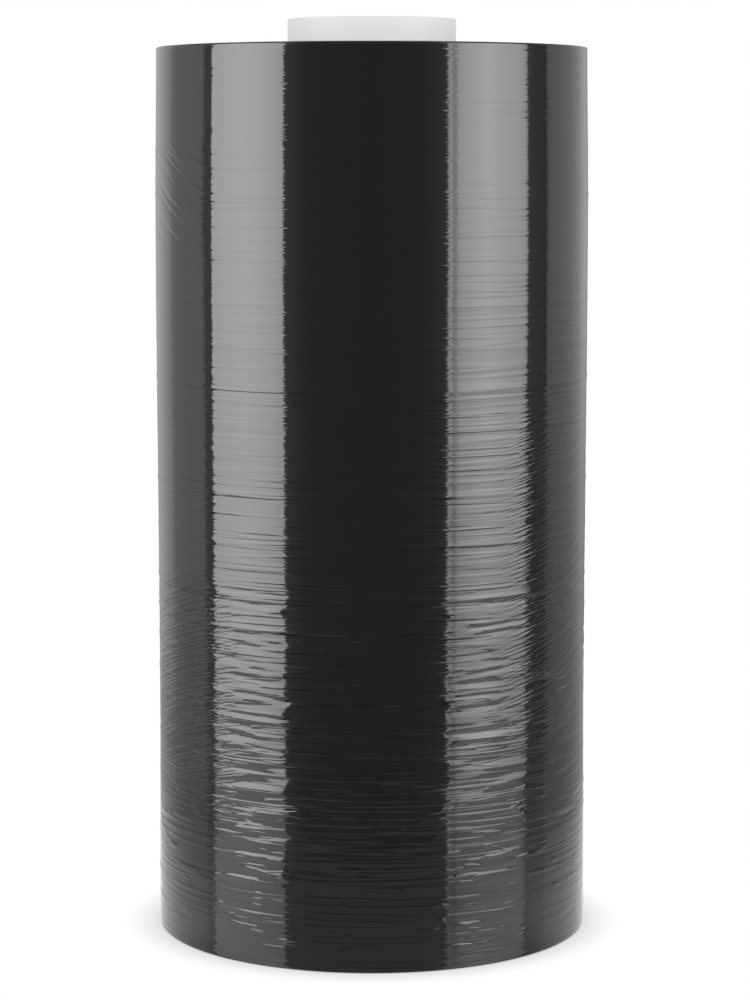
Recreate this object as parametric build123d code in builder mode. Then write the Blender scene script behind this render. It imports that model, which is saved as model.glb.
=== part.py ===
"""Stretch wrap roll: opaque black machine film wound on a spiral paper core.

The roll stands on end. The origin is on the axis, in the plane that it stands on,
and +Z points up along the core. The film is wound flush with the core at the lower
end, and the core stands proud of the film at the upper end.
"""

from build123d import *
import os

# Film: one web wound tight, so that its turns make a single solid pack.
film_width = 508.0  # 20 inch web, so this is also the pack's height
pack_diameter = 247.0  # at the waist, the slackest stretch of the pack
waist_height = 120.0  # up from the lower end
crown_depth = 88.0  # down from the upper end, where uneven film builds up
rim_radius = 1.2  # the outer turns round over at both ends

# How much further out than the waist the pack's surface lies, on the radius.
lower_rim_swell = 0.35
crown_swell = 1.8
upper_rim_swell = 0.75

# Core: a spiral-wound paper tube for a 3 inch mandrel.
core_bore_diameter = 76.2
core_wall = 10.5
core_proud = 16.5  # how far the core stands out of the film's upper end
core_edge_radius = 0.5  # the saw-cut ends are rubbed smooth

# Fit: the first turn lies on the core with no gap.
winding_clearance = 0.0

core_outer_radius = core_bore_diameter / 2 + core_wall
core_length = film_width + core_proud
film_bore_radius = core_outer_radius + winding_clearance
waist_radius = pack_diameter / 2
lower_rim_radius = waist_radius + lower_rim_swell
crown_radius = waist_radius + crown_swell
upper_rim_radius = waist_radius + upper_rim_swell

# Straight up, for the wound profile's tangents at its rims, waist and crown.
along_roll = (0, 1)

os.makedirs("parts", exist_ok=True)

# The core is a plain tube, open from end to end.
with BuildPart() as core:
    with BuildSketch(Plane.XY):
        Circle(core_outer_radius)
        Circle(core_bore_diameter / 2, mode=Mode.SUBTRACT)
    extrude(amount=core_length)
    core_end_edges = core.faces().filter_by(Axis.Z).edges()
    fillet(core_end_edges, radius=core_edge_radius)
core.part.label = "core"
export_step(core.part, "parts/core.step")

# The wound film is a turned section: flat at both ends, straight in the bore, and
# swelling gently from its waist to its crown on the outside.
with BuildPart() as film_roll:
    with BuildSketch(Plane.XZ):
        with BuildLine():
            lower_end = Line((film_bore_radius, 0), (lower_rim_radius, 0))
            wound_profile = Spline(
                lower_end @ 1,
                (waist_radius, waist_height),
                (crown_radius, film_width - crown_depth),
                (upper_rim_radius, film_width),
                tangents=[along_roll] * 4,
            )
            upper_end = Line(wound_profile @ 1, (film_bore_radius, film_width))
            Line(upper_end @ 1, lower_end @ 0)
        make_face()
    revolve(axis=Axis.Z)
    end_faces = film_roll.faces().filter_by(Axis.Z)
    rim_edges = [face.edges().sort_by(SortBy.RADIUS)[-1] for face in end_faces]
    fillet(rim_edges, radius=rim_radius)
film_roll.part.label = "film_roll"
export_step(film_roll.part, "parts/film_roll.step")
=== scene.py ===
"""Stretch wrap roll: the looks of black machine film wound on a white paper core.

The film pack is one skin of revolution. Its barrel, rims and end faces are laid out in
rows and columns, with gauge rings and creases pressed in, and Geometry Nodes wind the
lanes' ribs into it. The core is a paper tube with a spiral butt joint. The studio
is two tall softboxes, a white sweep and a gloss table, as black film is seen only by
what it mirrors.
"""

import logging
import math
from dataclasses import dataclass, field
from enum import Enum
from typing import Any

import bpy
import numpy as np
from mathutils import Matrix, Vector


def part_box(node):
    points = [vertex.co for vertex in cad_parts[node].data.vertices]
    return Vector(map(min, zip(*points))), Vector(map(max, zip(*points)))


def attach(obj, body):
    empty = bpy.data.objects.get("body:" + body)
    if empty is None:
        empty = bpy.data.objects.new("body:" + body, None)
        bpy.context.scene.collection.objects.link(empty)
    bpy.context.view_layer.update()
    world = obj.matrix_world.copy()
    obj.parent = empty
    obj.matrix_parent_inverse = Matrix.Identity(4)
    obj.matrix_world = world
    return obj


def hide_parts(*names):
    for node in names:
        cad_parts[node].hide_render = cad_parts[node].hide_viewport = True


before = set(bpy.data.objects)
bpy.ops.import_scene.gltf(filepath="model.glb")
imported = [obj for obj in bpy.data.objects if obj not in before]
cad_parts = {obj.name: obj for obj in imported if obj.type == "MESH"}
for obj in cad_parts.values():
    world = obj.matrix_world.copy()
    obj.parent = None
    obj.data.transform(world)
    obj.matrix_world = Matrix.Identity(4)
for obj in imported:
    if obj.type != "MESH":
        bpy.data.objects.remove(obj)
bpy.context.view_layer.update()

log = logging.getLogger("stretch_wrap_roll")
MM = 0.001  # lengths below are in millimetres, and the scene is in metres
ROOT_BODY = "root"


def linear(hex_code: str) -> tuple[float, float, float, float]:
    """Turns an sRGB hex colour into a linear one.

    Args:
        hex_code: The colour as "#rrggbb".

    Returns:
        Linear red, green, blue and an alpha of 1.
    """
    shares = [int(hex_code[i : i + 2], 16) / 255 for i in (1, 3, 5)]
    red, green, blue = (s / 12.92 if s <= 0.04045 else ((s + 0.055) / 1.055) ** 2.4 for s in shares)
    return red, green, blue, 1.0


def add_node(
    tree: bpy.types.NodeTree,
    kind: str,
    settings: dict[str, Any] | None = None,
    inputs: dict[int | str, Any] | None = None,
) -> bpy.types.Node:
    """Adds one node with its settings, its input values and its links.

    Args:
        tree: The node tree that it goes into.
        kind: The node's type name in Blender.
        settings: The node's own properties by name.
        inputs: By an input's index or name, a value, or the output socket to link from.

    Returns:
        The new node.
    """
    node = tree.nodes.new(kind)
    for name, value in (settings or {}).items():
        setattr(node, name, value)
    for key, value in (inputs or {}).items():
        if isinstance(value, bpy.types.NodeSocket):
            tree.links.new(value, node.inputs[key])
        else:
            node.inputs[key].default_value = value
    return node


def compute(tree: bpy.types.NodeTree, operation: str, *values: Any) -> bpy.types.NodeSocket:
    """Adds one Math node.

    Args:
        tree: The node tree that it goes into.
        operation: The node's operation.
        values: Its inputs in order, each a value or a socket to link from.

    Returns:
        The node's result.
    """
    settings = {"operation": operation}
    return add_node(tree, "ShaderNodeMath", settings, dict(enumerate(values))).outputs[0]


def fill_ramp(ramp: bpy.types.ColorRamp, stops: tuple[tuple[float, float], ...]) -> None:
    """Sets a colour ramp's stops to greys.

    Args:
        ramp: The ramp of a Color Ramp node.
        stops: Position and grey of each stop, in order.
    """
    while len(ramp.elements) < len(stops):
        ramp.elements.new(1.0)
    for element, (position, grey) in zip(ramp.elements, stops):
        element.position = position
        element.color = (grey, grey, grey, 1.0)


# --------------------------------------------------------------------------- finishes


class Slot(Enum):
    """Names for the record's material slots, which no piece here is given."""

    FILM = "black_film"
    CORE = "white_core_paper"


@dataclass(frozen=True)
class Relief:
    """One layer of the relief that tension, trapped air and handling leave in the film.

    Lengths are in millimetres. A layer is `depth` deep, repeats about every `pitch` up
    the roll, and its ridges run about `run` round it. It lies between the two `heights`,
    fading over `fade`. With `patch`, it comes in patches about that wide, and `cover` is
    the share of the film that they take. With `slant`, the ridges climb that much for
    each millimetre towards the back, and stay within `spread` degrees of `facing`.
    """

    pitch: float
    run: float
    depth: float
    heights: tuple[float, float] = (-50.0, 560.0)
    fade: float = 20.0
    patch: float = 0.0
    cover: float = 0.5
    slant: float = 0.0
    facing: float = 0.0
    spread: float = 360.0
    seed: float = 0.0


@dataclass(frozen=True)
class StretchFilm:
    """Cast polyethylene film, pigmented black, as the outer turns of a pack.

    It is a clear, hard gloss over black, so its colour is near nothing and all that
    shows is a sharp mirror image, broken up where the web has puckered.
    """

    name: str = "cast_polyethylene_film_black"
    colour: str = "#1a1a1a"
    ior: float = 1.5
    roughness: float = 0.045
    ridge_share: float = 0.14  # how much of the noise's swing a ridge takes
    patch_edge: float = 0.05  # and how much the edge of a patch takes
    layers: tuple[Relief, ...] = (
        Relief(4.6, 160, 0.09, seed=1.0),
        Relief(2.3, 120, 0.030, seed=2.0),
        Relief(3.1, 140, 0.075, (205, 322), 6.0, seed=3.0),
        Relief(2.6, 46, 0.11, (95, 212), 14.0, 34.0, 0.40, seed=4.0),
        Relief(3.2, 26, 0.16, (8, 110), 16.0, 24.0, 0.28, seed=5.0),
        Relief(2.6, 90, 0.13, (130, 300), 50.0, slant=0.30, facing=66, spread=34,
               seed=6.0),
        Relief(2.8, 90, 0.13, (90, 205), 40.0, slant=-0.32, facing=-64, spread=30,
               seed=7.0),
        Relief(4.5, 120, 0.14, (395, 452), 12.0, slant=0.55, facing=-72, spread=26,
               seed=8.0),
    )

    def build(self) -> bpy.types.Material:
        """Builds the film's material and returns it."""
        material = bpy.data.materials.new(self.name)
        material.use_nodes = True
        tree = material.node_tree
        tree.nodes.clear()
        place = add_node(tree, "ShaderNodeTexCoord").outputs["Object"]
        relief = None
        for layer in self.layers:
            term = self.add_relief(tree, place, layer)
            relief = term if relief is None else compute(tree, "ADD", relief, term)
        bump = add_node(
            tree, "ShaderNodeBump", None, {"Strength": 1.0, "Distance": MM, "Height": relief}
        ).outputs[0]
        shader = add_node(
            tree,
            "ShaderNodeBsdfPrincipled",
            None,
            {
                "Base Color": linear(self.colour),
                "Roughness": self.roughness,
                "IOR": self.ior,
                "Normal": bump,
            },
        ).outputs[0]
        add_node(tree, "ShaderNodeOutputMaterial", None, {"Surface": shader})
        return material

    def add_relief(
        self, tree: bpy.types.NodeTree, place: bpy.types.NodeSocket, layer: Relief
    ) -> bpy.types.NodeSocket:
        """Adds one relief layer to the material.

        Args:
            tree: The material's node tree.
            place: The Object coordinates.
            layer: What the layer is like.

        Returns:
            Its height in millimetres.
        """
        axes = add_node(tree, "ShaderNodeSeparateXYZ", None, {0: place})
        slid = compute(tree, "MULTIPLY_ADD", axes.outputs["Y"], -layer.slant, axes.outputs["Z"])
        slanted = add_node(
            tree,
            "ShaderNodeCombineXYZ",
            None,
            {"X": axes.outputs["X"], "Y": axes.outputs["Y"], "Z": slid},
        ).outputs[0]
        stretch = (1 / (layer.run * MM), 1 / (layer.run * MM), 1 / (layer.pitch * MM))
        stretched = add_node(
            tree, "ShaderNodeVectorMath", {"operation": "MULTIPLY"}, {0: slanted, 1: stretch}
        ).outputs[0]
        noise = add_node(
            tree,
            "ShaderNodeTexNoise",
            {"noise_dimensions": "4D"},
            {"Vector": stretched, "W": layer.seed, "Scale": 1.0, "Detail": 0.0},
        ).outputs[0]
        off = compute(tree, "SUBTRACT", noise, 0.5)
        away = compute(tree, "ABSOLUTE", off)
        ridge = add_node(
            tree,
            "ShaderNodeMapRange",
            {"interpolation_type": "SMOOTHERSTEP"},
            {
                "Value": away,
                "From Min": 0.0,
                "From Max": self.ridge_share,
                "To Min": 1.0,
                "To Max": 0.0,
            },
        ).outputs[0]
        low, high = layer.heights
        rise = add_node(
            tree,
            "ShaderNodeMapRange",
            {"interpolation_type": "SMOOTHSTEP"},
            {
                "Value": axes.outputs["Z"],
                "From Min": (low - layer.fade / 2) * MM,
                "From Max": (low + layer.fade / 2) * MM,
            },
        ).outputs[0]
        fall = add_node(
            tree,
            "ShaderNodeMapRange",
            {"interpolation_type": "SMOOTHSTEP"},
            {
                "Value": axes.outputs["Z"],
                "From Min": (high + layer.fade / 2) * MM,
                "From Max": (high - layer.fade / 2) * MM,
            },
        ).outputs[0]
        masks = [rise, fall]
        if layer.patch:
            spread_out = add_node(
                tree,
                "ShaderNodeVectorMath",
                {"operation": "MULTIPLY"},
                {0: place, 1: (1 / (layer.patch * MM),) * 2 + (2.5 / (layer.patch * MM),)},
            ).outputs[0]
            patches = add_node(
                tree,
                "ShaderNodeTexNoise",
                {"noise_dimensions": "4D"},
                {"Vector": spread_out, "W": layer.seed + 50, "Scale": 1.0, "Detail": 2.0},
            ).outputs[0]
            edge = 0.5 + (0.5 - layer.cover) * 0.45
            masks.append(
                add_node(
                    tree,
                    "ShaderNodeMapRange",
                    {"interpolation_type": "SMOOTHSTEP"},
                    {"Value": patches, "From Min": edge - self.patch_edge,
                     "From Max": edge + self.patch_edge},
                ).outputs[0]
            )
        if layer.spread < 180:
            outward = add_node(
                tree, "ShaderNodeVectorMath", {"operation": "MULTIPLY"}, {0: place, 1: (1, 1, 0)}
            ).outputs[0]
            outward = add_node(
                tree, "ShaderNodeVectorMath", {"operation": "NORMALIZE"}, {0: outward}
            ).outputs[0]
            turn = math.radians(layer.facing)
            alike = add_node(
                tree,
                "ShaderNodeVectorMath",
                {"operation": "DOT_PRODUCT"},
                {0: outward, 1: (math.sin(turn), -math.cos(turn), 0.0)},
            ).outputs["Value"]
            masks.append(
                add_node(
                    tree,
                    "ShaderNodeMapRange",
                    {"interpolation_type": "SMOOTHSTEP"},
                    {
                        "Value": alike,
                        "From Min": math.cos(math.radians(layer.spread)),
                        "From Max": math.cos(math.radians(layer.spread * 0.6)),
                    },
                ).outputs[0]
            )
        height = ridge
        for mask in masks:
            height = compute(tree, "MULTIPLY", height, mask)
        return compute(tree, "MULTIPLY", height, layer.depth)


@dataclass(frozen=True)
class WoundEdges:
    """The web's cut edge, turn on turn: duller than the film's face, with fine rings."""

    name: str = "polyethylene_film_edges_black"
    colour: str = "#171717"
    roughness: float = 0.46
    turn_band: float = 1.1  # millimetres from one group of turns to the next

    def build(self) -> bpy.types.Material:
        """Builds the material of the end faces and returns it."""
        material = bpy.data.materials.new(self.name)
        material.use_nodes = True
        tree = material.node_tree
        tree.nodes.clear()
        bands = radial_bands(tree, self.turn_band)
        bump = add_node(
            tree, "ShaderNodeBump", None, {"Strength": 1.0, "Distance": 0.8 * MM, "Height": bands}
        ).outputs[0]
        shader = add_node(
            tree,
            "ShaderNodeBsdfPrincipled",
            None,
            {"Base Color": linear(self.colour), "Roughness": self.roughness, "Normal": bump},
        ).outputs[0]
        add_node(tree, "ShaderNodeOutputMaterial", None, {"Surface": shader})
        return material


def radial_bands(tree: bpy.types.NodeTree, pitch: float) -> bpy.types.NodeSocket:
    """Adds uneven rings about the roll's axis.

    Args:
        tree: The material's node tree.
        pitch: About how far apart the rings are, in millimetres.

    Returns:
        A value from 0 to 1 that changes from ring to ring.
    """
    place = add_node(tree, "ShaderNodeTexCoord").outputs["Object"]
    flat = add_node(
        tree, "ShaderNodeVectorMath", {"operation": "MULTIPLY"}, {0: place, 1: (1, 1, 0)}
    ).outputs[0]
    reach = add_node(
        tree, "ShaderNodeVectorMath", {"operation": "LENGTH"}, {0: flat}
    ).outputs["Value"]
    return add_node(
        tree,
        "ShaderNodeTexNoise",
        {"noise_dimensions": "1D"},
        {"W": reach, "Scale": 1 / (pitch * MM), "Detail": 2.0},
    ).outputs[0]


@dataclass(frozen=True)
class CorePaper:
    """White-faced core board: recycled plies, spiral wound, with a smooth bleached face.

    Matt and nearly white. The plies show as fine rings on the saw-cut ends.
    """

    name: str = "core_board_white_faced"
    colour: str = "#efefee"
    joint_colour: str = "#cfccc6"  # the spiral butt joint, and the darkest ply
    lead: float = 330.0  # millimetres up for each turn of the joint
    ply: float = 0.6
    ior: float = 1.45
    roughness: float = 0.62

    def build(self) -> bpy.types.Material:
        """Builds the core board's material and returns it."""
        material = bpy.data.materials.new(self.name)
        material.use_nodes = True
        tree = material.node_tree
        tree.nodes.clear()
        facing = add_node(
            tree,
            "ShaderNodeSeparateXYZ",
            None,
            {0: add_node(tree, "ShaderNodeNewGeometry").outputs["Normal"]},
        ).outputs["Z"]
        on_end = compute(tree, "ABSOLUTE", facing)
        plies = compute(tree, "MULTIPLY", radial_bands(tree, self.ply), on_end)
        axes = add_node(
            tree,
            "ShaderNodeSeparateXYZ",
            None,
            {0: add_node(tree, "ShaderNodeTexCoord").outputs["Object"]},
        ).outputs
        turn = compute(tree, "ARCTAN2", axes["X"], axes["Y"])
        wound = compute(tree, "MULTIPLY_ADD", axes["Z"], math.tau / (self.lead * MM), turn)
        joint = compute(tree, "COSINE", wound)
        mark = add_node(
            tree, "ShaderNodeMapRange", None, {"Value": joint, "From Min": -0.99994, "From Max": -1.0}
        ).outputs[0]
        marked = compute(tree, "MAXIMUM", plies, mark)
        colour = add_node(
            tree,
            "ShaderNodeMix",
            {"data_type": "RGBA"},
            {0: marked, 6: linear(self.colour), 7: linear(self.joint_colour)},
        ).outputs[2]
        shader = add_node(
            tree,
            "ShaderNodeBsdfPrincipled",
            None,
            {"Base Color": colour, "Roughness": self.roughness, "IOR": self.ior},
        ).outputs[0]
        add_node(tree, "ShaderNodeOutputMaterial", None, {"Surface": shader})
        return material


# ------------------------------------------------------------------------- film pack


@dataclass(frozen=True)
class GaugeRing:
    """A line round the roll where the film's gauge changes from one lane to the next."""

    height: float
    swell: float  # how far it stands out, or in if negative
    width: float = 1.3


@dataclass(frozen=True)
class Crease:
    """A pucker pressed into the outer turn, long round the roll and narrow up it.

    It is `length` long about `angle` and `height`, climbs by `climb` over its length,
    bows by `bow` in its middle, and stands `depth` out, or in if negative.
    """

    angle: float
    height: float
    length: float
    depth: float
    width: float = 1.1
    climb: float = 0.0
    bow: float = 0.0


@dataclass
class FilmPack:
    """The wound film, as one closed skin: bore, end faces, rims and outer turn.

    Angles are in degrees round from the front, which faces -Y, towards +X.
    """

    core_radius: float
    width: float
    reach: float  # the widest that the pack may be, as a radius
    rim_radius: float = 1.2
    columns: int = 216
    profile: tuple[tuple[float, float], ...] = (  # share of the width, how far inside reach
        (0.0, 1.44),
        (0.2362, 1.79),
        (0.8268, 0.30),
        (1.0, 1.04),
    )
    rings: tuple[GaugeRing, ...] = (
        GaugeRing(449.5, 0.14, 0.9),
        GaugeRing(437.0, -0.14, 0.9),
        GaugeRing(424.0, 0.21, 1.1),
        GaugeRing(365.0, 0.16, 0.9),
        GaugeRing(342.0, 0.13, 0.9),
        GaugeRing(319.0, 0.30, 1.3),
        GaugeRing(297.0, 0.15, 0.9),
        GaugeRing(294.0, -0.13, 0.9),
        GaugeRing(261.0, 0.26, 1.1),
        GaugeRing(234.0, 0.18, 1.0),
        GaugeRing(205.0, 0.22, 1.0),
        GaugeRing(201.0, -0.18, 1.0),
        GaugeRing(187.0, 0.22, 1.0),
    )
    creases: tuple[Crease, ...] = (
        Crease(-31, 206.0, 44, -0.34, 1.2, -1.0, 1.2),
        Crease(-30, 201.5, 30, -0.40, 1.1, 0.5, -1.0),
        Crease(-26, 197.0, 18, 0.25, 1.2, 1.5),
        Crease(-38, 192.0, 22, -0.22, 1.0, -1.2),
        Crease(-34, 177.0, 30, -0.38, 1.1, -1.5),
        Crease(-40, 170.0, 20, -0.30, 1.0, -2.0),
        Crease(-33, 158.5, 34, -0.26, 1.0, -2.5, 1.0),
        Crease(-30, 148.5, 42, -0.34, 1.1, -3.0, 1.4),
        Crease(-26, 138.0, 26, -0.22, 1.0, -1.0),
        Crease(-36, 126.0, 30, -0.36, 1.2, -2.4, 1.5),
        Crease(-28, 121.0, 30, -0.26, 1.0, -1.0),
        Crease(-34, 106.5, 40, -0.42, 1.6, -1.0, 2.0),
        Crease(-30, 99.0, 40, 0.20, 2.6, 2.0, -1.0),
        Crease(-27, 84.0, 44, 0.40, 2.8, 4.0, 1.5),
        Crease(-36, 76.0, 34, 0.32, 1.2, -2.5),
        Crease(-33, 69.0, 30, 0.30, 1.0, -1.5),
        Crease(-31, 60.5, 36, 0.28, 1.0, -2.0),
        Crease(-28, 52.0, 42, 0.36, 1.3, -4.5),
        Crease(-32, 46.5, 40, 0.34, 1.1, -2.5),
        Crease(-31, 27.5, 22, 0.40, 1.6, -3.0),
        Crease(33, 188.0, 60, -0.42, 1.1, 3.5, 0.6),
        Crease(36, 184.0, 40, -0.34, 1.3, 2.0, 1.0),
        Crease(28, 173.5, 20, -0.26, 1.0, 1.0),
        Crease(36, 163.5, 72, -0.36, 1.1, 6.0, 0.8),
        Crease(28, 158.0, 28, -0.40, 1.3, 1.5),
        Crease(27, 151.0, 26, -0.30, 1.1, 0.5),
        Crease(28, 143.0, 34, -0.46, 1.6, 2.0, 1.0),
        Crease(33, 132.0, 52, -0.50, 1.8, 2.0, -1.4),
        Crease(27, 124.5, 26, -0.30, 1.0, 1.0),
        Crease(33, 112.5, 44, -0.45, 2.2, 3.0, 2.4),
        Crease(37, 99.5, 40, 0.18, 1.4, 4.0, 1.0),
        Crease(29, 92.0, 34, 0.18, 1.5, 3.5),
        Crease(26, 84.0, 22, 0.14, 1.0, 0.0),
        Crease(36, 61.0, 30, 0.30, 1.1, 1.0),
        Crease(45, 57.5, 40, 0.26, 0.9, 3.5),
        Crease(27, 50.0, 16, 0.30, 1.0, 0.5),
        Crease(26, 34.0, 22, 0.34, 1.1, 0.5),
        Crease(29, 12.0, 34, 0.26, 1.0, 2.0),
        Crease(33, 7.5, 40, 0.24, 1.0, 2.5),
    )
    pucker_count: int = 420
    pucker_seed: int = 7
    lane_pitch: float = 6.5  # the wound-in ribs, one for each lane of the web
    lane_depth: float = 0.16
    free_end: float = 152.4  # degrees round to where the outer turn ends
    film_step: float = 0.14  # several times the film's gauge, so that it shows
    step_turn: float = 0.2  # degrees that the step takes
    step_decay: float = 40.0  # degrees over which the turn below comes back up
    lane_run: float = 170.0
    lane_seed: float = 3.0
    rim_margin: float = 5.0  # no lane is wound this close to an end
    end_inset: float = 2.9  # inside reach by this much, a face belongs to an end
    crease_reach: float = 12.0  # a crease is nil this far up or down from its place
    rim_start: float = 1.0  # relief starts this far from an end
    rim_fade: float = 3.0
    finish: StretchFilm = field(default_factory=StretchFilm)
    edges: WoundEdges = field(default_factory=WoundEdges)

    def scattered(self) -> list[Crease]:
        """Gives the small puckers of the slack lower half, the same each time."""
        chance = np.random.default_rng(self.pucker_seed)
        found = []
        for _ in range(self.pucker_count):
            height = 8.0 + 205.0 * chance.beta(1.5, 1.2)
            side = -1.0 if chance.random() < 0.55 else 1.0
            found.append(
                Crease(
                    angle=chance.uniform(-180, 180),
                    height=height,
                    length=chance.uniform(9, 38),
                    depth=side * chance.uniform(0.10, 0.34),
                    width=chance.uniform(0.8, 1.6),
                    climb=chance.normal(0, 1.4),
                    bow=chance.normal(0, 0.8),
                )
            )
        return found

    def radius_at(self, height: np.ndarray) -> np.ndarray:
        """Gives the wound radius at each height: smooth between waist, crown and rims."""
        heights = np.array([share * self.width for share, _ in self.profile])
        radii = np.array([self.reach - inside for _, inside in self.profile])
        span = np.clip(np.searchsorted(heights, height, side="right") - 1, 0, len(heights) - 2)
        t = (height - heights[span]) / (heights[span + 1] - heights[span])
        ease = t * t * (3 - 2 * t)
        return radii[span] + (radii[span + 1] - radii[span]) * ease

    def skin_heights(self) -> np.ndarray:
        """Gives the heights of the outer skin's rows, close together where it is creased."""
        steps = ((self.rim_radius, 215.0, 1.0), (215.0, 330.0, 1.0), (330.0, 506.0, 4.0))
        rows = [np.arange(low, high, step) for low, high, step in steps]
        for ring in self.rings:
            rows.append(ring.height + ring.width * np.array([-1.6, -0.8, 0.0, 0.8, 1.6]))
        heights = np.unique(np.round(np.concatenate(rows), 2))
        keep = np.concatenate([[True], np.diff(heights) > 0.35])
        return heights[keep]

    def section(self) -> np.ndarray:
        """Gives the turned section as (radius, height) rows, once round from the bore."""
        heights = self.skin_heights()
        turns = np.radians(np.array([0, 15, 30, 45, 60, 75]))
        low_rim = self.radius_at(np.array([0.0]))[0] - self.rim_radius
        high_rim = self.radius_at(np.array([self.width]))[0] - self.rim_radius
        r = self.rim_radius
        faces = np.array([0.0, 0.06, 0.15, 0.3, 0.5, 0.7, 0.85, 0.94, 1.0])
        low_face = [(self.core_radius + (low_rim - self.core_radius) * f, 0.0) for f in faces]
        low_turn = [(low_rim + r * math.sin(t), r - r * math.cos(t)) for t in turns[1:]]
        skin = list(zip(self.radius_at(heights), heights))
        top = self.width
        high_turn = [(high_rim + r * math.cos(t), top - r + r * math.sin(t)) for t in turns]
        high_face = [
            (high_rim + (self.core_radius - high_rim) * f, top) for f in faces
        ]
        return np.array(low_face + low_turn + skin + high_turn + high_face)

    def relief(self, angle: np.ndarray, height: np.ndarray) -> np.ndarray:
        """Gives how far the outer turn stands off the plain barrel.

        Args:
            angle: Degrees round from the front of each point.
            height: Height of each point in millimetres.

        Returns:
            The offset along the radius in millimetres.
        """
        offset = np.zeros_like(height)
        for index, ring in enumerate(self.rings):
            sway = 0.35 * np.sin(np.radians(angle) * 2 + index)
            offset += ring.swell * np.exp(-(((height - ring.height - sway) / ring.width) ** 2))
        for crease in (*self.creases, *self.scattered()):
            turned = (angle - crease.angle + 180.0) % 360.0 - 180.0
            along = np.radians(turned) * self.radius_at(np.array([crease.height]))[0]
            share = along / (crease.length / 2)
            near_height = np.abs(height - crease.height) < self.crease_reach
            near = (np.abs(share) < 1.0) & near_height
            line = crease.height + crease.climb * share[near] / 2
            line += crease.bow * (1 - share[near] ** 2)
            taper = (1 - share[near] ** 2) ** 0.7
            off = (height[near] - line) / crease.width
            offset[near] += crease.depth * taper * np.exp(-(off**2))
        past = (angle - self.free_end - self.end_wander(height) + 180.0) % 360.0 - 180.0
        step = np.clip(past / self.step_turn, 0, 1) * np.exp(-past.clip(0) / self.step_decay)
        return offset - self.film_step * step

    def end_wander(self, height: np.ndarray) -> np.ndarray:
        """Gives how many degrees the free end strays from a straight line at each height."""
        return 0.25 * np.sin(height / 37.0) + 0.15 * np.sin(height / 11.0)

    def build(self) -> bpy.types.Object:
        """Builds the pack's piece.

        Returns:
            The finished object, riding on the root body.
        """
        section = self.section()
        angles = np.arange(self.columns) * 360.0 / self.columns - 180.0
        at_end = int(np.searchsorted(angles, self.free_end))
        angles = np.insert(angles, at_end, [self.free_end, self.free_end + self.step_turn])
        angle, radius = np.meshgrid(angles, section[:, 0])
        height = np.repeat(section[:, 1][:, None], len(angles), axis=1)
        angle[:, at_end : at_end + 2] += self.end_wander(height[:, at_end : at_end + 2])
        outside = radius > 0.97 * radius.max()
        near_end = np.minimum(height, self.width - height)
        fade = np.clip((near_end - self.rim_start) / self.rim_fade, 0, 1) * outside
        radius = radius + self.relief(angle, height) * fade
        turn = np.radians(angle)
        points = np.stack([radius * np.sin(turn), -radius * np.cos(turn), height], axis=-1)
        mesh = closed_grid("film_roll_skin", points.reshape(-1, 3) * MM, *radius.shape)
        piece = bpy.data.objects.new("film_pack", mesh)
        bpy.context.scene.collection.objects.link(piece)
        self.wind_lanes(piece, self.finish.build())
        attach(piece, ROOT_BODY)
        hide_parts("film_roll")
        return piece

    def wind_lanes(self, piece: bpy.types.Object, material: bpy.types.Material) -> None:
        """Winds the lanes' ribs into the skin with Geometry Nodes, and sets its material.

        Args:
            piece: The pack, whose mesh is replaced by the result.
            material: The film's material.
        """
        tree = bpy.data.node_groups.new("wind_lanes", "GeometryNodeTree")
        sockets = tree.interface
        sockets.new_socket("Geometry", in_out="INPUT", socket_type="NodeSocketGeometry")
        values = {
            "Lane Pitch": self.lane_pitch * MM,
            "Lane Depth": self.lane_depth * MM,
            "Lane Run": self.lane_run * MM,
            "Rim Margin": self.rim_margin * MM,
            "Pack Width": self.width * MM,
            "Skin Radius": (self.reach - self.end_inset) * MM,
            "Seed": self.lane_seed,
        }
        for name in values:
            sockets.new_socket(name, in_out="INPUT", socket_type="NodeSocketFloat")
        for name in ("Material", "Edge Material"):
            sockets.new_socket(name, in_out="INPUT", socket_type="NodeSocketMaterial")
        sockets.new_socket("Geometry", in_out="OUTPUT", socket_type="NodeSocketGeometry")
        given = add_node(tree, "NodeGroupInput").outputs
        place = add_node(tree, "GeometryNodeInputPosition").outputs[0]
        axes = add_node(tree, "ShaderNodeSeparateXYZ", None, {0: place}).outputs
        flat = add_node(
            tree, "ShaderNodeVectorMath", {"operation": "MULTIPLY"}, {0: place, 1: (1, 1, 0)}
        ).outputs[0]
        outward = add_node(
            tree, "ShaderNodeVectorMath", {"operation": "NORMALIZE"}, {0: flat}
        ).outputs[0]
        reach = add_node(
            tree, "ShaderNodeVectorMath", {"operation": "LENGTH"}, {0: flat}
        ).outputs["Value"]
        ratio = compute(tree, "DIVIDE", given["Lane Run"], given["Lane Pitch"])
        tall = compute(tree, "MULTIPLY", axes["Z"], ratio)
        stretched = add_node(
            tree, "ShaderNodeCombineXYZ", None, {"X": axes["X"], "Y": axes["Y"], "Z": tall}
        ).outputs[0]
        scale = compute(tree, "DIVIDE", 1.0, given["Lane Run"])
        lanes = add_node(
            tree,
            "ShaderNodeTexNoise",
            {"noise_dimensions": "4D"},
            {"Vector": stretched, "W": given["Seed"], "Scale": scale, "Detail": 0.0},
        ).outputs[0]
        swing = compute(tree, "SUBTRACT", lanes, 0.5)
        depth = compute(tree, "MULTIPLY", swing, given["Lane Depth"])
        above = compute(tree, "GREATER_THAN", axes["Z"], given["Rim Margin"])
        top = compute(tree, "SUBTRACT", given["Pack Width"], given["Rim Margin"])
        below = compute(tree, "LESS_THAN", axes["Z"], top)
        skin = compute(tree, "GREATER_THAN", reach, given["Skin Radius"])
        for mask in (above, below, skin):
            depth = compute(tree, "MULTIPLY", depth, mask)
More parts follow.
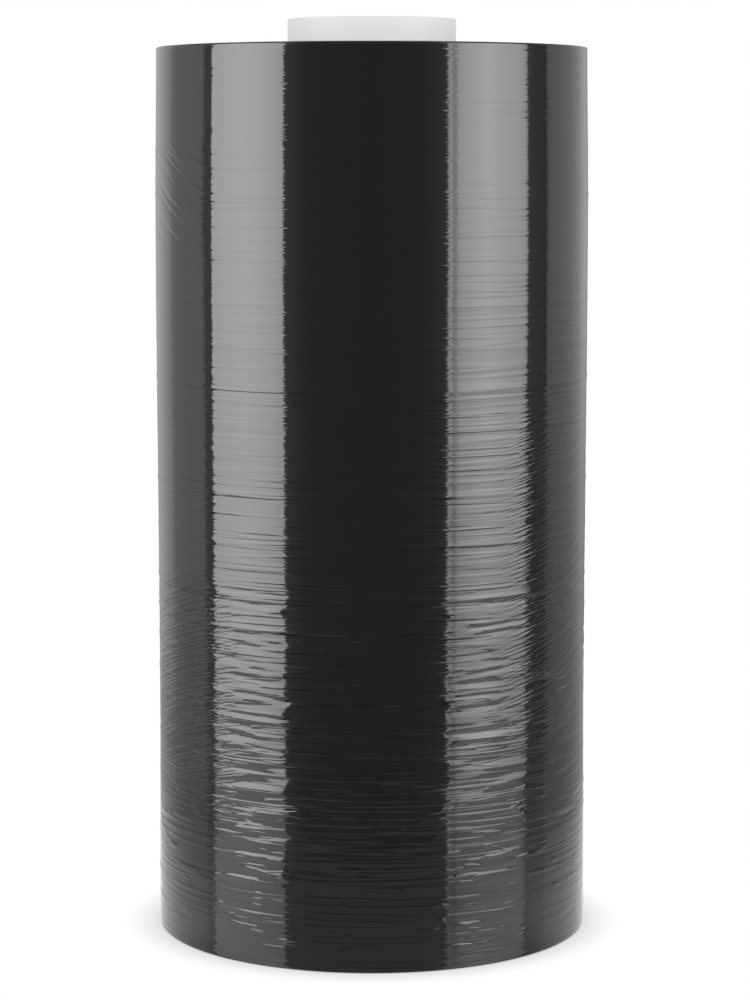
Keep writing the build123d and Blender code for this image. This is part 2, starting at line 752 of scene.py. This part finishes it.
        shift = add_node(
            tree, "ShaderNodeVectorMath", {"operation": "SCALE"}, {0: outward, "Scale": depth}
        ).outputs[0]
        moved = add_node(
            tree,
            "GeometryNodeSetPosition",
            None,
            {"Geometry": given["Geometry"], "Offset": shift},
        ).outputs[0]
        real = add_node(tree, "GeometryNodeRealizeInstances", None, {0: moved}).outputs[0]
        dressed = add_node(
            tree,
            "GeometryNodeSetMaterial",
            None,
            {"Geometry": real, "Material": given["Material"]},
        ).outputs[0]
        on_end = compute(tree, "LESS_THAN", reach, given["Skin Radius"])
        edged = add_node(
            tree,
            "GeometryNodeSetMaterial",
            None,
            {"Geometry": dressed, "Selection": on_end, "Material": given["Edge Material"]},
        ).outputs[0]
        add_node(tree, "NodeGroupOutput", None, {0: edged})
        values["Material"] = material
        values["Edge Material"] = self.edges.build()
        apply_nodes(piece, tree, values)


def apply_nodes(
    piece: bpy.types.Object, tree: bpy.types.NodeTree, values: dict[str, Any]
) -> None:
    """Runs a Geometry Nodes tree on a piece and keeps the plain mesh that it gives.

    Args:
        piece: The object whose mesh goes in and is replaced.
        tree: The node tree.
        values: The value of each named input.
    """
    modifier = piece.modifiers.new(tree.name, "NODES")
    modifier.node_group = tree
    for item in tree.interface.items_tree:
        if item.in_out == "INPUT" and item.name in values:
            modifier[item.identifier] = values[item.name]
    graph = bpy.context.evaluated_depsgraph_get()
    result = bpy.data.meshes.new_from_object(piece.evaluated_get(graph), depsgraph=graph)
    result.name = piece.data.name
    piece.modifiers.clear()
    piece.data = result


def closed_grid(name: str, points: np.ndarray, rows: int, columns: int) -> bpy.types.Mesh:
    """Makes a smooth mesh of a grid that closes on itself both ways.

    Args:
        name: The mesh's name.
        points: The grid's points in metres, row by row.
        rows: How many rows it has.
        columns: How many columns it has.

    Returns:
        The mesh, with its faces outward.
    """
    row, column = np.meshgrid(np.arange(rows), np.arange(columns), indexing="ij")
    next_row, next_column = (row + 1) % rows, (column + 1) % columns
    corners = [
        row * columns + column,
        row * columns + next_column,
        next_row * columns + next_column,
        next_row * columns + column,
    ]
    faces = np.stack(corners, axis=-1).reshape(-1, 4)
    mesh = bpy.data.meshes.new(name)
    mesh.from_pydata(points.tolist(), [], faces.tolist())
    mesh.polygons.foreach_set("use_smooth", np.ones(len(faces), bool))
    mesh.update()
    return mesh


# ------------------------------------------------------------------------------- core


@dataclass
class PaperCore:
    """The spiral-wound paper tube that the film is wound on."""

    outer_radius: float
    length: float
    wall: float = 10.5
    edge_radius: float = 0.5
    columns: int = 144
    finish: CorePaper = field(default_factory=CorePaper)

    def section(self) -> np.ndarray:
        """Gives the tube's section as (radius, height) rows, once round."""
        r, outer, top = self.edge_radius, self.outer_radius, self.length
        inner = outer - self.wall
        turns = np.radians(np.array([0, 30, 60, 90]))
        rows = [(inner + r - r * math.sin(t), r - r * math.cos(t)) for t in turns[::-1]]
        rows += [(outer - r + r * math.sin(t), r - r * math.cos(t)) for t in turns]
        rows += [(outer, h) for h in np.linspace(r, top - r, 24)[1:-1]]
        rows += [(outer - r + r * math.cos(t), top - r + r * math.sin(t)) for t in turns]
        rows += [(inner + r - r * math.cos(t), top - r + r * math.sin(t)) for t in turns[::-1]]
        rows += [(inner, h) for h in np.linspace(top - r, r, 24)[1:-1]]
        return np.array(rows)

    def build(self) -> bpy.types.Object:
        """Builds the core's piece.

        Returns:
            The finished object, riding on the root body.
        """
        section = self.section()
        angles = np.radians(np.arange(self.columns) * 360.0 / self.columns)
        angle, radius = np.meshgrid(angles, section[:, 0])
        height = np.repeat(section[:, 1][:, None], self.columns, axis=1)
        points = np.stack([radius * np.sin(angle), -radius * np.cos(angle), height], axis=-1)
        mesh = closed_grid("core_tube", points.reshape(-1, 3) * MM, *radius.shape)
        piece = bpy.data.objects.new("paper_core", mesh)
        bpy.context.scene.collection.objects.link(piece)
        mesh.materials.append(self.finish.build())
        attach(piece, ROOT_BODY)
        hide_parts("core")
        return piece


# ----------------------------------------------------------------------------- studio


@dataclass(frozen=True)
class LightSide:
    """What stands round one side of the roll, as the gloss of the film sees it.

    The stops of `round` are (degrees round from the camera's side, radiance), and those
    of `rise` are (height in millimetres, share of that radiance).
    """

    round: tuple[tuple[float, float], ...]
    rise: tuple[tuple[float, float], ...]


LEFT = LightSide(
    round=(
        (0, 0.07), (22, 0.10), (30, 0.13), (36, 0.19), (41, 0.31), (44.5, 0.45), (46.6, 0.60),
        (46.9, 6.7), (50, 6.8), (53, 7.5), (58.7, 7.9), (64, 8.2), (70, 8.24), (76, 7.8),
        (84, 7.0), (88.5, 6.3), (92.3, 6.0), (92.8, 0.50), (98.2, 0.45), (99.4, 1.0),
        (101.5, 1.18), (106, 1.12), (114, 0.93), (124, 0.82), (131.5, 0.76), (134, 1.03),
        (147, 1.0), (155, 0.88), (165, 0.66), (174, 0.3), (180, 0.1),
    ),
    rise=(
        (-112, 0.0), (-104, 0.50), (-74, 0.59), (-41, 0.70), (19, 0.82), (69, 0.88),
        (188, 0.90), (350, 1.0), (900, 1.0), (1150, 0.5), (1300, 0.1),
    ),
)
RIGHT = LightSide(
    round=(
        (0, 0.07), (15, 0.09), (24, 0.11), (28, 0.15), (33, 0.22), (36.6, 0.30), (40.2, 0.50),
        (40.5, 5.7), (42.2, 5.7), (42.6, 3.85), (45, 3.95), (45.6, 5.9), (48.3, 6.5),
        (52, 7.05), (55, 7.5), (60, 7.95), (64, 8.05), (68, 7.6), (72, 7.15), (78, 6.36),
        (84, 5.7), (87.5, 4.8), (89.2, 4.3), (89.8, 0.46), (98, 0.27), (104.5, 0.21),
        (106.6, 0.92), (132, 0.86), (148, 0.90), (155, 0.84), (168, 0.42), (176, 0.1),
    ),
    rise=(
        (-112, 0.0), (-104, 0.50), (-67, 0.54), (-49, 0.58), (15, 0.61), (96, 0.71),
        (183, 0.78), (330, 1.0), (900, 1.0), (1150, 0.5), (1300, 0.1),
    ),
)


@dataclass
class Studio:
    """The camera, the light and the floor that the roll stands on."""

    full_radiance: float = 8.5  # the ramps hold shares of this
    camera_distance: float = 1738.8
    camera_height: float = 452.2
    camera_side: float = 1.87
    pitch_down: float = 3.531
    lens: float = 108.0
    shift: float = -0.17
    film_radius: float = 124.5
    surround_radius: float = 1000.0
    surround_heights: tuple[float, float] = (-150.0, 1350.0)
    room_radiance: float = 0.05
    ceiling_radiance: float = 0.7
    lamp_watts: float = 9.0
    table_side: float = 665.0
    table_front: float = 385.0
    table_back: float = 900.0
    table_mirror: float = 0.2  # a share of what stands behind it, seen at a low angle
    table_roughness: float = 0.06
    table_base: float = 0.30
    table_glow: tuple[float, float] = (0.6, 0.08)  # painted light: the glow close to the roll, and far from it
    table_glow_radii: tuple[float, float] = (180.0, 450.0)
    contact_reach: float = 22.0  # how far the painted contact shadow spreads
    lamp_size: float = 1200.0
    lamp_place: tuple[float, float, float] = (1500.0, -2000.0, 1200.0)
    lamp_aim: tuple[float, float, float] = (0.0, 0.0, 400.0)

    def build(self) -> None:
        """Builds the camera, the light and the stage."""
        self.add_camera()
        self.light_world()
        self.add_surround()
        self.add_lamps()
        self.add_floor()
        self.add_gloss_table()

    def add_camera(self) -> None:
        """Adds the camera, level with the upper part of the roll and looking down a little."""
        data = bpy.data.cameras.new("camera")
        data.lens = self.lens
        data.sensor_width = 36.0
        data.shift_y = self.shift
        data.clip_start, data.clip_end = 0.05, 50.0
        camera = bpy.data.objects.new("camera", data)
        bpy.context.scene.collection.objects.link(camera)
        tilt = Matrix.Rotation(math.radians(90 - self.pitch_down), 4, "X")
        place = Vector((self.camera_side, -self.camera_distance, self.camera_height)) * MM
        camera.matrix_world = Matrix.Translation(place) @ tilt
        bpy.context.scene.camera = camera

    def light_world(self) -> None:
        """Lights the world evenly, and shows gloss a pale ceiling over a dark room."""
        world = bpy.data.worlds.new("studio")
        bpy.context.scene.world = world
        world.use_nodes = True
        world.cycles.sampling_method = "NONE"
        tree = world.node_tree
        tree.nodes.clear()
        toward = add_node(tree, "ShaderNodeTexCoord").outputs["Generated"]
        axes = add_node(tree, "ShaderNodeSeparateXYZ", None, {0: toward})
        ceiling = add_node(
            tree,
            "ShaderNodeMapRange",
            None,
            {
                "Value": axes.outputs["Z"],
                "From Min": 0.3,
                "From Max": 0.7,
                "To Min": self.room_radiance,
                "To Max": self.ceiling_radiance,
            },
        ).outputs[0]
        glossy = add_node(tree, "ShaderNodeLightPath").outputs["Is Glossy Ray"]
        strength = add_node(
            tree,
            "ShaderNodeMix",
            {"data_type": "FLOAT"},
            {"Factor": glossy, "A": 1.0, "B": ceiling},
        ).outputs[0]
        light = add_node(
            tree, "ShaderNodeBackground", None, {"Color": (1, 1, 1, 1), "Strength": strength}
        ).outputs[0]
        add_node(tree, "ShaderNodeOutputWorld", None, {"Surface": light})

    def seen_from_film(self, azimuth: float) -> float:
        """Turns a direction in which the film mirrors into a place on the surround.

        Args:
            azimuth: Degrees round from the camera's side of the mirrored direction.

        Returns:
            Degrees round the roll's axis of the point that it meets.
        """
        lead = self.film_radius / self.surround_radius * math.sin(math.radians(azimuth / 2))
        return azimuth - math.degrees(math.asin(lead))

    def add_surround(self) -> None:
        """Adds the softboxes and the white sweep as a wall that only gloss sees."""
        low, high = self.surround_heights
        count = 180
        turns = [math.tau * i / count for i in range(count)]
        wall = [
            (self.surround_radius * math.sin(t) * MM, self.surround_radius * math.cos(t) * MM, z * MM)
            for z in (low, high)
            for t in turns
        ]
        faces = [(i, (i + 1) % count, (i + 1) % count + count, i + count) for i in range(count)]
        mesh = bpy.data.meshes.new("surround")
        mesh.from_pydata(wall, [], faces)
        surround = bpy.data.objects.new("surround", mesh)
        bpy.context.scene.collection.objects.link(surround)
        surround.visible_camera = False
        surround.visible_diffuse = False
        surround.visible_shadow = False
        material = bpy.data.materials.new("surround_softboxes")
        material.use_nodes = True
        tree = material.node_tree
        tree.nodes.clear()
        place = add_node(tree, "ShaderNodeTexCoord").outputs["Object"]
        axes = add_node(tree, "ShaderNodeSeparateXYZ", None, {0: place})
        front = compute(tree, "MULTIPLY", axes.outputs["Y"], -1.0)
        across = compute(tree, "ABSOLUTE", axes.outputs["X"])
        azimuth = compute(tree, "ARCTAN2", across, front)
        round_share = compute(tree, "DIVIDE", azimuth, math.pi)
        rise_share = add_node(
            tree,
            "ShaderNodeMapRange",
            None,
            {"Value": axes.outputs["Z"], "From Min": low * MM, "From Max": high * MM},
        ).outputs[0]
        seen = []
        for side in (LEFT, RIGHT):
            round_ramp = add_node(tree, "ShaderNodeValToRGB", None, {0: round_share})
            fill_ramp(
                round_ramp.color_ramp,
                tuple((self.seen_from_film(d) / 180, v / self.full_radiance) for d, v in side.round),
            )
            rise_ramp = add_node(tree, "ShaderNodeValToRGB", None, {0: rise_share})
            fill_ramp(
                rise_ramp.color_ramp,
                tuple(((h - low) / (high - low), share) for h, share in side.rise),
            )
            seen.append(
                compute(tree, "MULTIPLY", round_ramp.outputs[0], rise_ramp.outputs[0])
            )
        is_right = compute(tree, "GREATER_THAN", axes.outputs["X"], 0.0)
        chosen = add_node(
            tree,
            "ShaderNodeMix",
            {"data_type": "FLOAT"},
            {"Factor": is_right, "A": seen[0], "B": seen[1]},
        ).outputs[0]
        radiance = compute(tree, "MULTIPLY", chosen, self.full_radiance)
        light = add_node(
            tree, "ShaderNodeEmission", None, {"Color": (1, 1, 1, 1), "Strength": radiance}
        ).outputs[0]
        add_node(tree, "ShaderNodeOutputMaterial", None, {"Surface": light})
        material.cycles.emission_sampling = "NONE"
        mesh.materials.append(material)

    def add_lamps(self) -> None:
        """Adds two soft lamps at the front, for the matt core alone."""
        for side in (-1, 1):
            data = bpy.data.lights.new("soft_lamp", "AREA")
            data.shape = "DISK"
            data.size = self.lamp_size * MM
            data.energy = self.lamp_watts
            lamp = bpy.data.objects.new(f"soft_lamp_{'left' if side < 0 else 'right'}", data)
            bpy.context.scene.collection.objects.link(lamp)
            lamp.visible_glossy = False
            lamp.visible_camera = False
            across, along, up = self.lamp_place
            place = Vector((side * across, along, up)) * MM
            aim = (Vector(self.lamp_aim) * MM - place).to_track_quat("-Z", "Y")
            lamp.matrix_world = Matrix.Translation(place) @ aim.to_matrix().to_4x4()

    def add_plane(
        self, name: str, low: tuple[float, float], high: tuple[float, float], height: float
    ) -> bpy.types.Object:
        """Adds a level stage plane.

        Args:
            name: The object's name.
            low: Its lowest x and y in millimetres.
            high: Its highest x and y.
            height: Its height.

        Returns:
            The plane.
        """
        corners = [(low[0], low[1]), (high[0], low[1]), (high[0], high[1]), (low[0], high[1])]
        mesh = bpy.data.meshes.new(name)
        mesh.from_pydata([(x * MM, y * MM, height * MM) for x, y in corners], [], [(0, 1, 2, 3)])
        plane = bpy.data.objects.new(name, mesh)
        bpy.context.scene.collection.objects.link(plane)
        return plane

    def add_floor(self) -> None:
        """Adds the white floor, with the roll's contact shadow painted into its glow."""
        reach = 6000.0
        floor = self.add_plane("floor", (-reach, -reach), (reach, reach), -0.3)
        floor.visible_glossy = False
        material = bpy.data.materials.new("floor_white_sweep")
        material.use_nodes = True
        tree = material.node_tree
        tree.nodes.clear()
        near = add_node(
            tree, "ShaderNodeAmbientOcclusion", {"samples": 16}, {"Distance": self.contact_reach * MM}
        ).outputs["AO"]
        # painted shadow: the floor's glow is dimmed by ambient occlusion close to the roll
        shade = compute(tree, "MULTIPLY_ADD", near, 0.5, 0.5)
        light = add_node(
            tree, "ShaderNodeEmission", None, {"Color": (1, 1, 1, 1), "Strength": shade}
        ).outputs[0]
        add_node(tree, "ShaderNodeOutputMaterial", None, {"Surface": light})
        material.cycles.emission_sampling = "NONE"
        floor.data.materials.append(material)

    def add_gloss_table(self) -> None:
        """Adds the gloss table top that only the film's gloss sees, mirrored low down, with painted
        light on it.
        """
        table = self.add_plane(
            "table",
            (-self.table_side, -self.table_front),
            (self.table_side, self.table_back),
            -0.2,
        )
        table.visible_camera = False
        table.visible_diffuse = False
        table.visible_shadow = False
        material = bpy.data.materials.new("table_white_acrylic")
        material.use_nodes = True
        tree = material.node_tree
        tree.nodes.clear()
        place = add_node(tree, "ShaderNodeTexCoord").outputs["Object"]
        aside = add_node(
            tree, "ShaderNodeVectorMath", {"operation": "MULTIPLY"}, {0: place, 1: (1, 1, 0)}
        ).outputs[0]
        away = add_node(
            tree, "ShaderNodeVectorMath", {"operation": "LENGTH"}, {0: aside}
        ).outputs["Value"]
        # painted light: the table glows brighter close to the roll, except in front of it
        close = add_node(
            tree,
            "ShaderNodeMapRange",
            None,
            {
                "Value": away,
                "From Min": self.table_glow_radii[0] * MM,
                "From Max": self.table_glow_radii[1] * MM,
                "To Min": self.table_glow[0],
                "To Max": self.table_glow[1],
            },
        ).outputs[0]
        ahead = add_node(
            tree, "ShaderNodeVectorMath", {"operation": "NORMALIZE"}, {0: aside}
        ).outputs[0]
        behind = add_node(
            tree,
            "ShaderNodeMapRange",
            {"interpolation_type": "SMOOTHSTEP"},
            {
                "Value": add_node(
                    tree, "ShaderNodeSeparateXYZ", None, {0: ahead}
                ).outputs["Y"],
                "From Min": -0.85,
                "From Max": -0.3,
            },
        ).outputs[0]
        strength = compute(tree, "MULTIPLY_ADD", close, behind, self.table_base)
        glow = add_node(
            tree, "ShaderNodeEmission", None, {"Color": (1, 1, 1, 1), "Strength": strength}
        ).outputs[0]
        mirror = self.table_mirror
        gloss = add_node(
            tree,
            "ShaderNodeBsdfAnisotropic",
            None,
            {"Color": (mirror, mirror, mirror, 1.0), "Roughness": self.table_roughness},
        ).outputs[0]
        both = add_node(tree, "ShaderNodeAddShader", None, {0: glow, 1: gloss}).outputs[0]
        add_node(tree, "ShaderNodeOutputMaterial", None, {"Surface": both})
        material.cycles.emission_sampling = "NONE"
        table.data.materials.append(material)


# -------------------------------------------------------------------------------- run


def main() -> None:
    """Builds the roll and its studio, piece by piece."""
    logging.basicConfig(level=logging.INFO, format="%(message)s")
    bpy.context.scene.view_settings.view_transform = "Standard"
    Studio().build()
    core_low, core_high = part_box("core")
    film_low, film_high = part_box("film_roll")
    core_radius = (core_high[0] - core_low[0]) / 2 / MM
    pack = FilmPack(
        core_radius=core_radius,
        width=(film_high[2] - film_low[2]) / MM,
        reach=(film_high[0] - film_low[0]) / 2 / MM,
    )
    core = PaperCore(outer_radius=core_radius, length=(core_high[2] - core_low[2]) / MM)
    for piece in (pack.build(), core.build()):
        triangles = sum(len(p.vertices) - 2 for p in piece.data.polygons)
        log.info("%s: %d triangles", piece.name, triangles)


if __name__ == "__main__":
    main()
